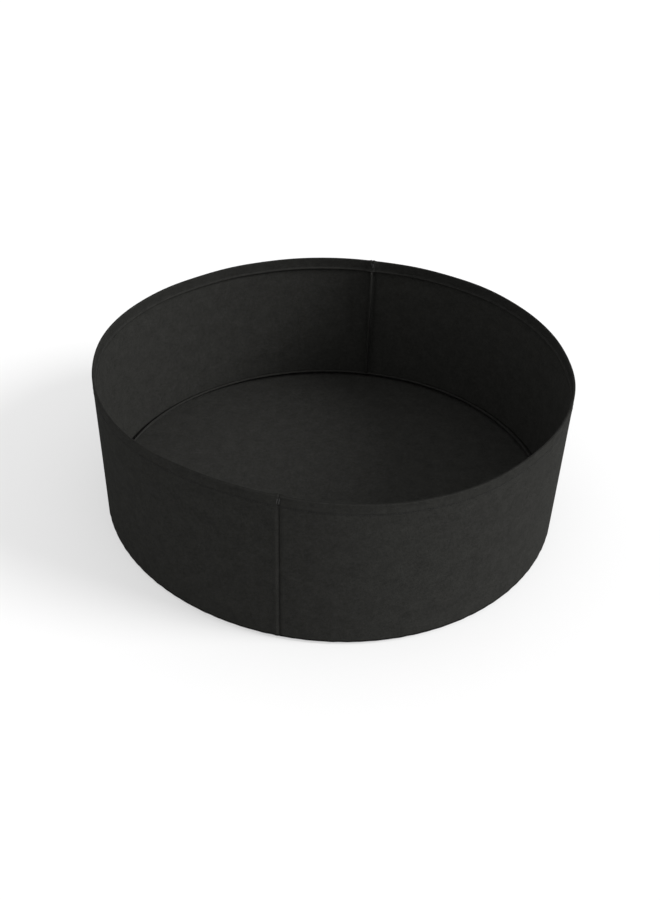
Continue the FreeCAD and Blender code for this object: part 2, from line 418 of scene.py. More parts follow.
@dataclass(frozen=True)
class BagShape:
    """How the sewn bag departs from its plain drum.

    The allowances folded into the rim at a seam part its two layers (swell) and lift it (rim_rise). Felt
    waves gently between its seams and puckers beside its stitches. wall_from and base_until say between
    which shares of the bag's radius the wall's waves start and the base's end. Sheets that are sewn
    together are let into each other by the overlaps, and by seam_crush in the upright seams' turns.
    """

    sizes: BagSizes
    outward_waves: tuple[Wave, ...] = (Wave(2, 1.8 * MM, 26.0), Wave(3, 3.8 * MM, 19.0))
    upward_waves: tuple[Wave, ...] = (
        Wave(2, 0.9 * MM, 17.0),
        Wave(3, 1.7 * MM, -34.0),
        Wave(4, 2.4 * MM, -21.0),
        Wave(5, 1.9 * MM, -20.0),
    )
    wall_ripple: Ripple = Ripple(0.7 * MM, (5, 9, 14), 3)
    belly_ripple: Ripple = Ripple(0.245 * MM, (17, 23, 31), 4)
    foot_pucker: Ripple = Ripple(0.45 * MM, (73, 97, 121), 5)
    foot_pucker_reach: float = 22 * MM
    hem_pucker: Ripple = Ripple(0.3 * MM, (101, 133, 167, 191), 6)
    hem_pucker_reach: float = 9 * MM
    rim_ripple: Ripple = Ripple(0.3 * MM, (9, 14, 19), 7)
    swell: float = 3.6 * MM
    swell_reach: float = 10 * MM
    rim_rise: float = 2.5 * MM
    rim_rise_reach: float = 6 * MM
    groove: float = 1.0 * MM
    groove_reach: float = 3 * MM
    groove_slope: float = 3.4 * MM
    ridge: float = 1.6 * MM
    ridge_place: float = 6.3 * MM
    ridge_reach: float = 3.0 * MM
    relief_end: float = 8 * MM
    relief_foot: float = 15 * MM
    hem_flare: float = 2.4 * MM
    base_wave: float = 1.3 * MM
    wall_from: tuple[float, float] = (0.8, 0.98)
    base_until: tuple[float, float] = (0.95, 0.75)
    overlap: float = 0.15 * MM
    rim_overlap: float = 0.5 * MM
    seam_crush: float = 0.45 * MM

    def past_seam(self, azimuth: Array) -> Array:
        """Distances along the wall from the nearer seam, positive on its right, at azimuths."""
        turn = np.mod(azimuth - self.sizes.seam_azimuth + QUARTER, math.pi) - QUARTER
        return turn * self.sizes.radius

    def seam_relief(self, azimuth: Array) -> Array:
        """How the wall stands beside an upright seam, whose allowances are pressed to its left side.

        It sinks to a groove, steeply on the right side. On the left it first rises over the allowances.

        Args:
            azimuth: Angles from the front.

        Returns:
            Distances outwards, in metres.
        """
        right = self.past_seam(azimuth)
        reach = np.where(right > 0, self.groove_reach, self.groove_slope)
        ridge = self.ridge * hump(right + self.ridge_place, self.ridge_reach)
        return ridge - self.groove * hump(right, reach)

    def fold_radius(self, azimuth: Array) -> Array:
        """Outside radius of the rim's fold at azimuths: half of both layers and of the room between them."""
        room = self.sizes.fold_gap + self.swell * hump(self.past_seam(azimuth), self.swell_reach)
        return self.sizes.felt + room / 2

    def rise(self, azimuth: Array) -> Array:
        """How much higher the rim stands at azimuths, over the allowances folded into it."""
        return self.rim_rise * hump(self.past_seam(azimuth), self.rim_rise_reach)

    def rim_share(self, height: Array) -> Array:
        """How far a height follows the rim: not at the hem's raw edge, and fully where the fold starts."""
        return fade(height, self.sizes.height - self.sizes.hem_width, self.sizes.height - self.plain_fold)

    @property
    def plain_fold(self) -> float:
        """Outside radius of the rim's fold away from the seams."""
        return self.sizes.felt + self.sizes.fold_gap / 2

    def near_rim(self, layer: Layer, azimuth: Array, height: Array) -> tuple[Array, Array]:
        """Outside face of the wall near the rim, or inside face of the hem.

        Args:
            layer: Which of the two.
            azimuth: Angles from the front.
            height: Heights on the plain drum.

        Returns:
            Points of the plain drum with the rim's swell, and the directions away from the felt.
        """
        fold = self.fold_radius(azimuth)
        up = self.rim_share(height) * (self.rise(azimuth) + self.plain_fold - fold)
        radius = self.sizes.radius - (0 if layer is Layer.WALL else 2) * fold
        out = outward(azimuth)
        return radius[..., None] * out + (height + up)[..., None] * UPWARD, layer.value * out

    def base_lift(self, x: Array, y: Array) -> Array:
        """How high the base lies off the ground: crossed long waves, and half as much of a slanting one.

        Args:
            x: Places to the right, in radii of the bag.
            y: Places to the back, in radii of the bag.

        Returns:
            Heights in metres, never negative.
        """
        long = np.sin(5.1 * x + 1.3) * np.cos(4.3 * y + 0.4)
        short = np.sin(9.7 * x - 7.9 * y + 2.0)
        return self.base_wave * (0.5 + 0.33 * (long + short / 2))

    def settled(self, points: Array) -> Array:
        """Moves points of the plain drum to where the felt stands.

        The wall waves in and out, more towards the rim, puckers over the base seam and beside the hem's
        stitches, and the rim waves up and down. Waves of the base lift it off the ground and fade out
        towards its edge, and those of the wall fade out inwards.

        Args:
            points: Points of the plain drum.

        Returns:
            The points, moved.
        """
        sizes = self.sizes
        radius = np.hypot(points[:, 0], points[:, 1]) / sizes.radius
        turn = np.arctan2(points[:, 0], -points[:, 1])
        height = points[:, 2]
        share = np.clip(height / sizes.height, 0, 1)
        relief_top = sizes.hem_stitch_z + self.relief_end
        relief_share = fade(height, relief_top, relief_top - 2 * self.relief_end)
        out = sum(wave.at(turn) for wave in self.outward_waves)
        out += self.wall_ripple.at(turn) * share
        out += self.belly_ripple.at(turn) * np.sin(math.pi * share)
        out += self.foot_pucker.at(turn) * np.exp(-height / self.foot_pucker_reach)
        out += self.hem_pucker.at(turn) * hump(height - sizes.hem_stitch_z, self.hem_pucker_reach)
        out += self.seam_relief(turn) * relief_share * fade(height, 0, self.relief_foot)
        up = (sum(wave.at(turn) for wave in self.upward_waves) + self.rim_ripple.at(turn)) * share
        edge = fade(radius, *self.wall_from)
        lift = fade(radius, *self.base_until) * self.base_lift(*(points[:, :2] / sizes.radius).T)
        moved = points + outward(turn) * (edge * out)[:, None]
        moved[:, 2] += edge * up + lift
        return moved


# ---------------- felt panels


@dataclass
class Columns:
    """The lines of a wall panel's grid that run up the wall, from one end of the panel to the other.

    azimuth is where the line stands, forward how far it lies past that point along the wall, depth how
    far it lies under the surface, and lean the angle through which the felt has turned inwards there,
    negative at the panel's first end. beyond is the distance into the allowance, or less than zero.
    """

    azimuth: Array
    forward: Array
    depth: Array
    lean: Array
    beyond: Array
    length: Array


ROW_VALUES = ("radius", "radius_fold", "height", "height_fold", "height_rise", "slope")


@dataclass
class Rows:
    """The lines of a wall panel's grid that run along the wall, from the base seam to the hem's raw edge.

    A line's radius is radius + radius_fold * fold and its height height + height_fold * fold +
    height_rise * rise, where fold is the radius of the rim's fold and rise the rim's rise there. slope is
    the angle of the right side's direction above straight outwards. layer is 1 on the wall and -1 on the
    hem, and seam is the distance from the base seam's turn into its allowance, or less than zero.
    """

    radius: Array
    radius_fold: Array
    height: Array
    height_fold: Array
    height_rise: Array
    slope: Array
    seam: Array
    length: Array


def stretch(like: Array, **given: Array | float) -> Array:
    """A line for each of ROW_VALUES over some rows, as many as like has. What isn't given is zero."""
    return np.stack([np.broadcast_to(given.get(name, 0.0), like.shape) for name in ROW_VALUES])


@dataclass
class WallPanel:
    """Half of the wall: one cut of felt with its hem, its two upright allowances and its base allowance.

    Columns lie spacing apart, or fine_spacing within fine_reach of a seam, and steps are the grid's cells
    along a stretch of it. Stitches press away press_depth of the felt's thickness. The darkening numbers,
    from 0 to 1, say how much darker the felt is painted: compressed with painted shade in the stitches'
    dents, painted shade on the rim's crest and where the felt faces up, painted shadow at its foot, and
    darker on the hem and below the rim.
    """

    shape: BagShape
    side: Side
    material: bpy.types.Material
    spacing: float = 4.6 * MM
    fine_spacing: float = 2 * MM
    fine_reach: float = 40 * MM
    turn_steps: int = 7
    allowance_steps: int = 7
    foot_steps: int = 7
    wall_steps: int = 35
    top_steps: int = 6
    top_reach: float = 12 * MM
    rim_steps: int = 16
    fold_steps: int = 12
    hem_steps: int = 15
    closing_reach: float = 6 * MM
    press_depth: float = 0.35
    # Compressed felt at the stitches, darker, with painted shade in their dents.
    stitch_compression_and_shade: float = 0.5
    # Painted shade where the felt faces up, most on the rim's crest.
    upward_painted_shade: float = 0.8
    hem_darkening: float = 0.4
    rim_darkening: float = 0.25
    # Reach of the painted shadow along the wall's foot.
    foot_painted_shadow_reach: float = 2.4 * MM
    # Reach of the darker band on the inside of the hem above its stitches.
    hem_darkening_reach: float = 4 * MM

    def columns(self) -> Columns:
        """Lays out the grid's columns.

        Each end has an allowance that runs inwards, then a quarter turn, then the arc of the wall. The
        second end mirrors the first.

        Returns:
            The columns.
        """
        sizes = self.shape.sizes
        gap = sizes.sewn_gap / 2
        short = math.asin((gap + sizes.outer_bend) / (sizes.radius - sizes.outer_bend))
        start = sizes.seam_azimuth + math.radians(self.side.value) + short
        span = math.pi - 2 * short
        reach = self.fine_reach / sizes.radius
        fine = np.linspace(0, reach, round(self.fine_reach / self.fine_spacing) + 1)
        coarse = np.linspace(reach, span - reach, round(span * sizes.radius / self.spacing))
        arc = np.concatenate([fine, coarse[1:-1], (span - fine)[::-1]])
        turn = np.linspace(0, QUARTER, self.turn_steps + 1)[1:]
        beyond = np.linspace(0, sizes.allowance, self.allowance_steps + 1)[1:]
        bend = sizes.middle_bend
        lean = np.concatenate([turn, np.full(len(beyond), QUARTER)])
        forward = (bend + self.shape.overlap) * np.sin(lean)
        depth = bend * (1 - np.cos(lean)) + np.concatenate([np.zeros(len(turn)), beyond])
        past = np.concatenate([turn * bend, turn[-1] * bend + beyond])
        into = np.concatenate([np.full(len(turn), -1.0), beyond])
        flat = np.zeros(len(arc))
        return Columns(
            azimuth=start + np.concatenate([np.zeros(len(lean)), arc, np.full(len(lean), span)]),
            forward=np.concatenate([-forward[::-1], flat, forward]),
            depth=np.concatenate([depth[::-1], flat, depth]),
            lean=np.concatenate([-lean[::-1], flat, lean]),
            beyond=np.concatenate([into[::-1], flat - 1, into]),
            length=np.concatenate([-past[::-1], arc * sizes.radius, span * sizes.radius + past]),
        )

    def rows(self) -> Rows:
        """Lays out the grid's rows: base allowance, turn, wall, fold of the rim and hem.

        Returns:
            The rows.
        """
        sizes = self.shape.sizes
        plain_fold = self.shape.plain_fold
        middle = sizes.felt / 2
        top = sizes.height - plain_fold
        raw = sizes.height - sizes.hem_width
        into = np.linspace(sizes.allowance, 0, self.allowance_steps + 1)
        turn = np.linspace(-SEAM_TURN, 0, self.turn_steps + 2)[1:-1]
        turned = sizes.middle_bend - self.shape.overlap * turn / SEAM_TURN
        wall = np.concatenate([
            np.linspace(sizes.foot_z, sizes.fin_bottom, self.foot_steps + 1)[:-1],
            np.linspace(sizes.fin_bottom, sizes.fin_top - self.top_reach, self.wall_steps + 1)[:-1],
            np.linspace(sizes.fin_top - self.top_reach, sizes.fin_top, self.top_steps + 1),
            np.linspace(raw, top, self.rim_steps + 1),
        ])
        fold = np.linspace(0, math.pi, self.fold_steps + 1)[1:-1]
        hem = np.linspace(top, raw, self.hem_steps + 1)
        free = sizes.hem_stitch_z - raw
        bent = np.clip((sizes.hem_stitch_z - hem) / free, 0, 1)
        seam_bend = sizes.middle_bend + self.shape.overlap
        turn_radius = sizes.radius - sizes.outer_bend
        near_rim = self.shape.rim_share(wall)
        hem_rim = self.shape.rim_share(hem)
        lines = np.concatenate([
            stretch(into, radius=turn_radius - DIAGONAL * (seam_bend + into),
                    height=sizes.foot_z - DIAGONAL * (seam_bend - into), slope=-SEAM_TURN),
            stretch(turn, radius=turn_radius + turned * np.cos(turn),
                    height=sizes.foot_z + turned * np.sin(turn), slope=turn),
            stretch(wall, radius=sizes.radius - middle,
                    height=wall + near_rim * plain_fold, height_fold=-near_rim, height_rise=near_rim),
            stretch(fold, radius=sizes.radius - middle * np.cos(fold), radius_fold=np.cos(fold) - 1,
                    height=sizes.height - middle * np.sin(fold), height_fold=np.sin(fold) - 1,
                    height_rise=1.0, slope=fold),
            stretch(hem, radius=sizes.radius + middle - self.shape.hem_flare * bent**2, radius_fold=-2.0,
                    height=hem + hem_rim * plain_fold, height_fold=-hem_rim, height_rise=hem_rim,
                    slope=math.pi - np.arctan(2 * self.shape.hem_flare * bent / free)),
        ], axis=1)
        radius, radius_fold, height, height_fold = lines[:4]
        across, along = radius + radius_fold * plain_fold, height + height_fold * plain_fold
        length = np.concatenate([[0], np.cumsum(np.hypot(np.diff(across), np.diff(along)))])
        seam = np.full(len(radius), -1.0)
        seam[:len(into)] = into
        return Rows(*lines, seam=seam, length=length)

    def painted_shade_and_darkening(self, rows: Rows) -> Array:
        """Painted shade along the rows: painted shadow most on its turns, then painted shade on its crest,
        painted shadow at its foot, and darker on the hem and towards the rim.

        Args:
            rows: The grid's rows.

        Returns:
            A number from 0 to 1 for each row.
        """
        sizes = self.shape.sizes
        height = rows.height + rows.height_fold * self.shape.plain_fold
        # Painted shadow where the wall turns under into the base seam, and painted shade on rows that face
        # up, most on the rim's crest.
        turns = np.where(rows.slope < 0, 1, self.upward_painted_shade * np.sin(rows.slope)) * (rows.seam < 0)
        # Painted shadow along the wall's foot.
        foot = (rows.slope == 0) * hump(height - sizes.foot_z, self.foot_painted_shadow_reach)
        folded_in = fade(height, sizes.hem_stitch_z, sizes.hem_stitch_z + self.hem_darkening_reach)
        # Darker on the inside of the hem above its stitches.
        hem = self.hem_darkening * (rows.slope > QUARTER) * folded_in
        # The strongest of these, with the felt darker towards the rim.
        return np.maximum.reduce([turns, foot, hem, self.rim_darkening * self.shape.rim_share(height)])

    def felt_cells(self, columns: Columns, rows: Rows) -> Array:
        """Which cells of the grid are felt: an upright allowance only runs as far as its seam.

        Args:
            columns: The grid's columns.
            rows: The grid's rows.

        Returns:
            One truth value for each cell.
        """
        sizes = self.shape.sizes
        slack = MM / 10
        wall = (rows.slope == 0) & (rows.height <= sizes.fin_top + slack)
        wall &= rows.height >= sizes.fin_bottom - slack
        allowance = (columns.beyond[:-1] > 0) | (columns.beyond[1:] > 0)
        return ~allowance[:, None] | (wall[:-1] & wall[1:])

    def sheet(self) -> FeltSheet:
        """Carries the rows along the columns.

        A point lies at its row's radius and height in its column's upright plane, then forward along the
        wall and depth against the right side. The right side's direction turns with the slope of the row
        and the lean of the column. The two panels are pushed together in the turns of an upright seam, and
        further where they close at the rim.

        Returns:
            The sheet of felt.
        """
        shape, sizes = self.shape, self.shape.sizes
        columns, rows = self.columns(), self.rows()
        fold = shape.fold_radius(columns.azimuth)[:, None]
        rise = shape.rise(columns.azimuth)[:, None]
        radius = rows.radius + rows.radius_fold * fold
        height = rows.height + rows.height_fold * fold + rows.height_rise * rise
        out, along = outward(columns.azimuth)[:, None], around(columns.azimuth)[:, None]
        side = np.cos(rows.slope)[:, None] * out + np.sin(rows.slope)[:, None] * UPWARD
        lean = columns.lean[:, None]
        closed = fade(rows.height, sizes.fin_top - self.closing_reach, sizes.fin_top)
        forward = columns.forward[:, None] + shape.rim_overlap * closed * np.sin(lean)
        forward += shape.seam_crush * (1 - closed) * np.sin(2 * lean)
        middle = radius[..., None] * out + height[..., None] * UPWARD
        middle += forward[..., None] * along - columns.depth[:, None, None] * side
        press = np.maximum.reduce(np.broadcast_arrays(
            sizes.pressing(rows.height - sizes.hem_stitch_z),
            sizes.pressing(rows.seam - sizes.stitch_inset),
            sizes.pressing(columns.beyond - sizes.stitch_inset)[:, None],
        ))
        return FeltSheet(
            middle=middle,
            normal=side * np.cos(lean)[..., None] + along * np.sin(lean)[..., None],
            thickness=sizes.felt * (1 - self.press_depth * press),
            uv=np.stack(np.broadcast_arrays(columns.length[:, None], rows.length), axis=-1),
            # Compressed felt at the stitches, with painted shade in their dents, and the rows' painted shade
            # and darkening.
            pressed_and_shaded=np.maximum(self.stitch_compression_and_shade * press, self.painted_shade_and_darkening(rows)),
            keep=self.felt_cells(columns, rows),
        )

    def build(self) -> bpy.types.Object:
        """Makes the panel, which stands for its plain node.

        Returns:
            The panel.
        """
        surface = self.sheet().closed()
        surface.points = self.shape.settled(surface.points)
        piece = surface.build(f"felt_{self.side.node}", self.material, "wall_felt")
        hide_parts(self.side.node)
        return piece


@dataclass
class BasePanel:
    """The round felt base, with the allowance that turns up inside the wall."""

    shape: BagShape
    material: bpy.types.Material
    turns: int = 540
    flat_steps: int = 30
    crowding: float = 0.7
    bend_steps: int = 8
    allowance_steps: int = 8
    thinning: float = 0.2
    edge_bulge: float = 0.4

    def outline(self) -> tuple[Array, Array, Array]:
        """Half of the section, from the axis along the underside, round the allowance and back inside.

        The edge turns up by 135 degrees, so that its allowance leans inwards by 45 degrees.

        Returns:
            Radii, heights and how much each point is compressed or darkened by painted shadow.
        """
        sizes = self.shape.sizes
        flat = sizes.base_flat_radius
        inwards = np.array([-DIAGONAL, DIAGONAL])
        upwards = np.array([DIAGONAL, DIAGONAL])
        edge = np.linspace(0, 1, self.flat_steps + 1)[1:] ** self.crowding * flat
        turn = np.linspace(-QUARTER, math.pi / 4, self.bend_steps + 1)[1:]
        into = np.linspace(0, sizes.allowance, self.allowance_steps + 1)[1:]
        press = sizes.pressing(into - sizes.stitch_inset)
        thin = self.thinning * sizes.felt * press
        centre = np.array([flat, sizes.outer_bend])
        lined = centre + into[:, None] * inwards
        outer = lined + (sizes.outer_bend + self.shape.overlap - thin)[:, None] * upwards
        inner = lined + (sizes.bend + thin)[:, None] * upwards
        tip = (outer[-1] + inner[-1]) / 2 + inwards * sizes.felt * self.edge_bulge
        quarter = np.stack([np.cos(turn), np.sin(turn)], axis=1)
        underside = np.stack([edge, np.zeros_like(edge)], axis=1)
        line = np.concatenate([
            [[0.0, 0.0]], underside, centre + sizes.outer_bend * quarter, outer, [tip],
            inner[::-1], (centre + sizes.bend * quarter)[::-1], (underside + [0, sizes.felt])[::-1],
            [[0.0, sizes.felt]],
        ])
        blank = np.zeros(1 + len(edge))
        # Painted shadow on the outside of the base's turn; compressed felt with painted shade at the
        # allowance's stitches.
        bent = np.sin(np.linspace(0, math.pi, len(turn)))
        pressed_and_shaded = np.concatenate([blank, bent, press, [0], press[::-1], 0 * bent, blank])
        return line[:, 0], line[:, 1], pressed_and_shaded

    def build(self) -> bpy.types.Object:
        """Turns the section about the bag's axis and closes it with a fan at each pole.

        Returns:
            The base.
        """
        radius, height, pressed_and_shaded = self.outline()
        azimuth = np.linspace(0, 2 * math.pi, self.turns, endpoint=False)
        ring = outward(azimuth)[:, None] * radius[None, 1:-1, None] + height[None, 1:-1, None] * UPWARD
        count = len(radius) - 2
        number = np.arange(self.turns * count).reshape(self.turns, count)
        number = np.concatenate([number, number[:1]])
        poles = np.array([[0, 0, height[0]], [0, 0, height[-1]]])
        first, last = number[:, 0], number[:, -1]
        below, above = np.full((2, self.turns), self.turns * count) + [[0], [1]]
        points = np.concatenate([ring.reshape(-1, 3), poles])
        surface = Surface(
            self.shape.settled(points),
            [
                cell_corners(number).reshape(-1, 4),
                np.concatenate([
                    np.stack([below, first[1:], first[:-1]], axis=1),
                    np.stack([above, last[:-1], last[1:]], axis=1),
                ]),
            ],
            points[:, :2],
            np.concatenate([np.tile(pressed_and_shaded[1:-1], self.turns), [0, 0]]),
        )
        piece = surface.build("felt_base_panel", self.material, "base_felt")
        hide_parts("base_panel")
        return piece


# ---------------- sewing


# A stitch is a capsule: shares of its length, and its line's height over the felt and its width there, both
# in diameters of the thread.
CAPSULE_SIDES = 6
CAPSULE_ALONG = np.array([0.0, 0.1, 0.3, 0.7, 0.9, 1.0])
CAPSULE_LIFT = np.array([-1.6, -0.55, 0.1, 0.1, -0.55, -1.6])
CAPSULE_WIDTH = np.array([0.75, 1.0, 1.0, 1.0, 1.0, 0.75])


def stitches(middle: Array, normal: Array, thread: float) -> Surface:
    """Short threads that dip into the felt at both ends.

    Each thread is a tube of six sides round a line that lies on the felt and sinks at its ends.

    Args:
        middle: Points on the face of the felt: one row for each stitch, one for each of CAPSULE_ALONG.
        normal: The directions away from the felt there.
        thread: The thread's diameter.

    Returns:
        One surface with all the stitches.
    """
    count, steps = middle.shape[:2]
    run = middle[:, -1] - middle[:, 0]
    length = np.linalg.norm(run, axis=1)
    across = unit(np.cross(unit(run)[:, None], normal))
    line = middle + normal * (CAPSULE_LIFT * thread)[:, None]
    angle = np.linspace(0, 2 * math.pi, CAPSULE_SIDES, endpoint=False)[:, None]
    spoke = np.cos(angle) * normal[:, :, None] + np.sin(angle) * across[:, :, None]
    points = line[:, :, None] + spoke * (CAPSULE_WIDTH * thread / 2)[:, None, None]
    number = np.arange(count * steps * CAPSULE_SIDES).reshape(count, steps, CAPSULE_SIDES)
    after = np.roll(number, -1, axis=2)
    walls = np.stack([number[:, :-1], after[:, :-1], after[:, 1:], number[:, 1:]], axis=-1)
    caps = np.concatenate([number[:, 0, ::-1], number[:, -1]])
    way = length[:, None, None] * CAPSULE_ALONG[:, None] + np.zeros(CAPSULE_SIDES)
    round_it = np.arange(CAPSULE_SIDES) * thread / 2 + np.zeros_like(way)
    uv = np.stack([way + np.arange(count)[:, None, None] * thread, round_it], axis=-1)
    total = count * steps * CAPSULE_SIDES
    return Surface(points.reshape(-1, 3), [walls.reshape(-1, 4), caps], uv.reshape(-1, 2), np.zeros(total))


@dataclass
class Sewing:
    """All the thread of the bag: the hem's, the base seam's and the upright seams' rows and the bartacks."""

    shape: BagShape
    material: bpy.types.Material
    # A lighter copy of the thread's finish for the bartacks: painted highlight on their strokes.
    lit_tack_material: bpy.types.Material
    pitch: float = 4 * MM
    gap: float = 0.5 * MM
    strokes: tuple[float, ...] = (-0.52, -0.38, 0.04, 0.18)
    stroke_lean: float = 0.3
    tack_shift: float = -1.5 * MM

    def build(self) -> None:
        """Makes a piece for each row of stitches and for each bartack."""
        sizes = self.shape.sizes
        for layer, node in ((Layer.WALL, "hem_needle_thread"), (Layer.HEM, "hem_bobbin_thread")):
            turn = self.spread(2 * math.pi * sizes.radius) / sizes.radius
            face = self.shape.near_rim(layer, turn, np.full_like(turn, sizes.hem_stitch_z))
            self.finish(node, stitches(*face, sizes.thread))
        for node, ring, way in (
            ("base_seam_needle_thread", sizes.wall_stitch, DIAGONAL),
            ("base_seam_bobbin_thread", sizes.base_stitch, -DIAGONAL),
        ):
            turn = self.spread(2 * math.pi * ring[0]) / ring[0]
            out = outward(turn)
            self.finish(node, stitches(ring[0] * out + ring[1] * UPWARD, way * (out + UPWARD), sizes.thread))
        for seam in Seam:
            for role in ("needle", "bobbin"):
                self.upright(f"{seam.word}_seam_{role}_thread", seam)
            self.bartack(seam)

    def spread(self, length: float) -> Array:
        """Where the stitches of a row lie.

        Args:
            length: The row's length.

        Returns:
            Distances along the row: one row for each stitch, one for each of CAPSULE_ALONG.
        """
        count = round(length / self.pitch)
        starts = np.arange(count)[:, None] * self.pitch
        return (starts + CAPSULE_ALONG * (self.pitch - self.gap)) * length / (count * self.pitch)

    def upright(self, node: str, seam: Seam) -> None:
        """Makes a row of stitches on the allowance of a wall panel.

        Args:
            node: The thread's node, which shows where the row is.
            seam: The seam that it sews.
        """
        low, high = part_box(node)
        height = low.z + self.spread(high.z - low.z)
        foot = np.array([(low.x + high.x) / 2, (low.y + high.y) / 2, 0.0])
        along = around(np.array(self.shape.sizes.seam_azimuth + math.radians(seam.value)))
        normal = along * np.sign(foot @ along) + np.zeros_like(height)[..., None]
        self.finish(node, stitches(foot + height[..., None] * UPWARD, normal, self.shape.sizes.thread))

    def bartack(self, seam: Seam) -> None:
        """Makes the upright strokes of thread that lock the top of an upright seam, outside and inside.

        The strokes lean to the right, and lie nearer the side to which the allowances are pressed.

        Args:
            seam: The seam that it locks.
        """
        sizes = self.shape.sizes
        across = np.array(self.strokes)[:, None] + self.stroke_lean * CAPSULE_ALONG
        middle = sizes.seam_azimuth + math.radians(seam.value)
        turn = middle + (across * sizes.bartack_width + self.tack_shift) / sizes.radius
        height = sizes.bartack_foot_z + CAPSULE_ALONG * sizes.bartack_height + np.zeros_like(turn)
        sides = [stitches(*self.shape.near_rim(layer, turn, height), sizes.thread) for layer in Layer]
        self.finish(f"{seam.word}_rim_bartack", joined(sides), self.lit_tack_material)

    def finish(self, node: str, surface: Surface, material: bpy.types.Material | None = None) -> None:
        """Settles a row of stitches like the felt under it and makes its piece.

        Args:
            node: The plain node that it stands for.
            surface: The stitches.
            material: Its finish, where that isn't the rows' own.
        """
        surface.points = self.shape.settled(surface.points)
        piece = surface.build(f"stitched_{node}", material or self.material, "sewing_thread")
        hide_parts(node)


# ---------------- finishes


class Graph:
    """Lays out the nodes of a material or of the world."""

    def __init__(self, owner: bpy.types.Material | bpy.types.World) -> None:
        """Takes the owner's nodes away."""
        owner.use_nodes = True
        self.tree = owner.node_tree
        self.tree.nodes.clear()

    def node(self, kind: str, sockets: dict[str | int, object], **settings: object) -> bpy.types.Node:
        """Adds a node.

        Args:
            kind: The node's type, without ShaderNode.
            sockets: What goes into its sockets: a number, a colour or another node's output.
            settings: Its properties.

        Returns:
            The node.
        """
        made = self.tree.nodes.new(f"ShaderNode{kind}")
        for name, value in settings.items():
            setattr(made, name, value)
        for key, value in sockets.items():
            if isinstance(value, bpy.types.NodeSocket):
                self.tree.links.new(value, made.inputs[key])
            else:
                made.inputs[key].default_value = value
        return made

    def math(self, operation: str, *terms: object) -> bpy.types.NodeSocket:
        """Adds a math node and gives its result."""
        return self.node("Math", dict(enumerate(terms)), operation=operation).outputs[0]

    def vary(self, base: object, noise: object, size: float) -> bpy.types.NodeSocket:
        """Adds a noise, counted from its middle and multiplied by a size, to a base."""
        return self.math("MULTIPLY_ADD", self.math("SUBTRACT", noise, 0.5), size, base)

    def noise(self, where: object, scale: float, detail: float, rough: float = 0.5) -> bpy.types.NodeSocket:
        """Adds a noise about 0.5: scale patterns to the metre, and detail finer ones as strong as rough."""
        sockets = {"Vector": where, "Scale": scale, "Detail": detail, "Roughness": rough}
        return self.node("TexNoise", sockets).outputs["Fac"]

    def ranged(self, value: object, end: float, to: tuple[float, float]) -> bpy.types.NodeSocket:
        """Maps the range from zero to its end smoothly onto another range."""
        sockets = {"Value": value, 1: 0.0, 2: end, 3: to[0], 4: to[1]}
        return self.node("MapRange", sockets, interpolation_type="SMOOTHSTEP").outputs[0]


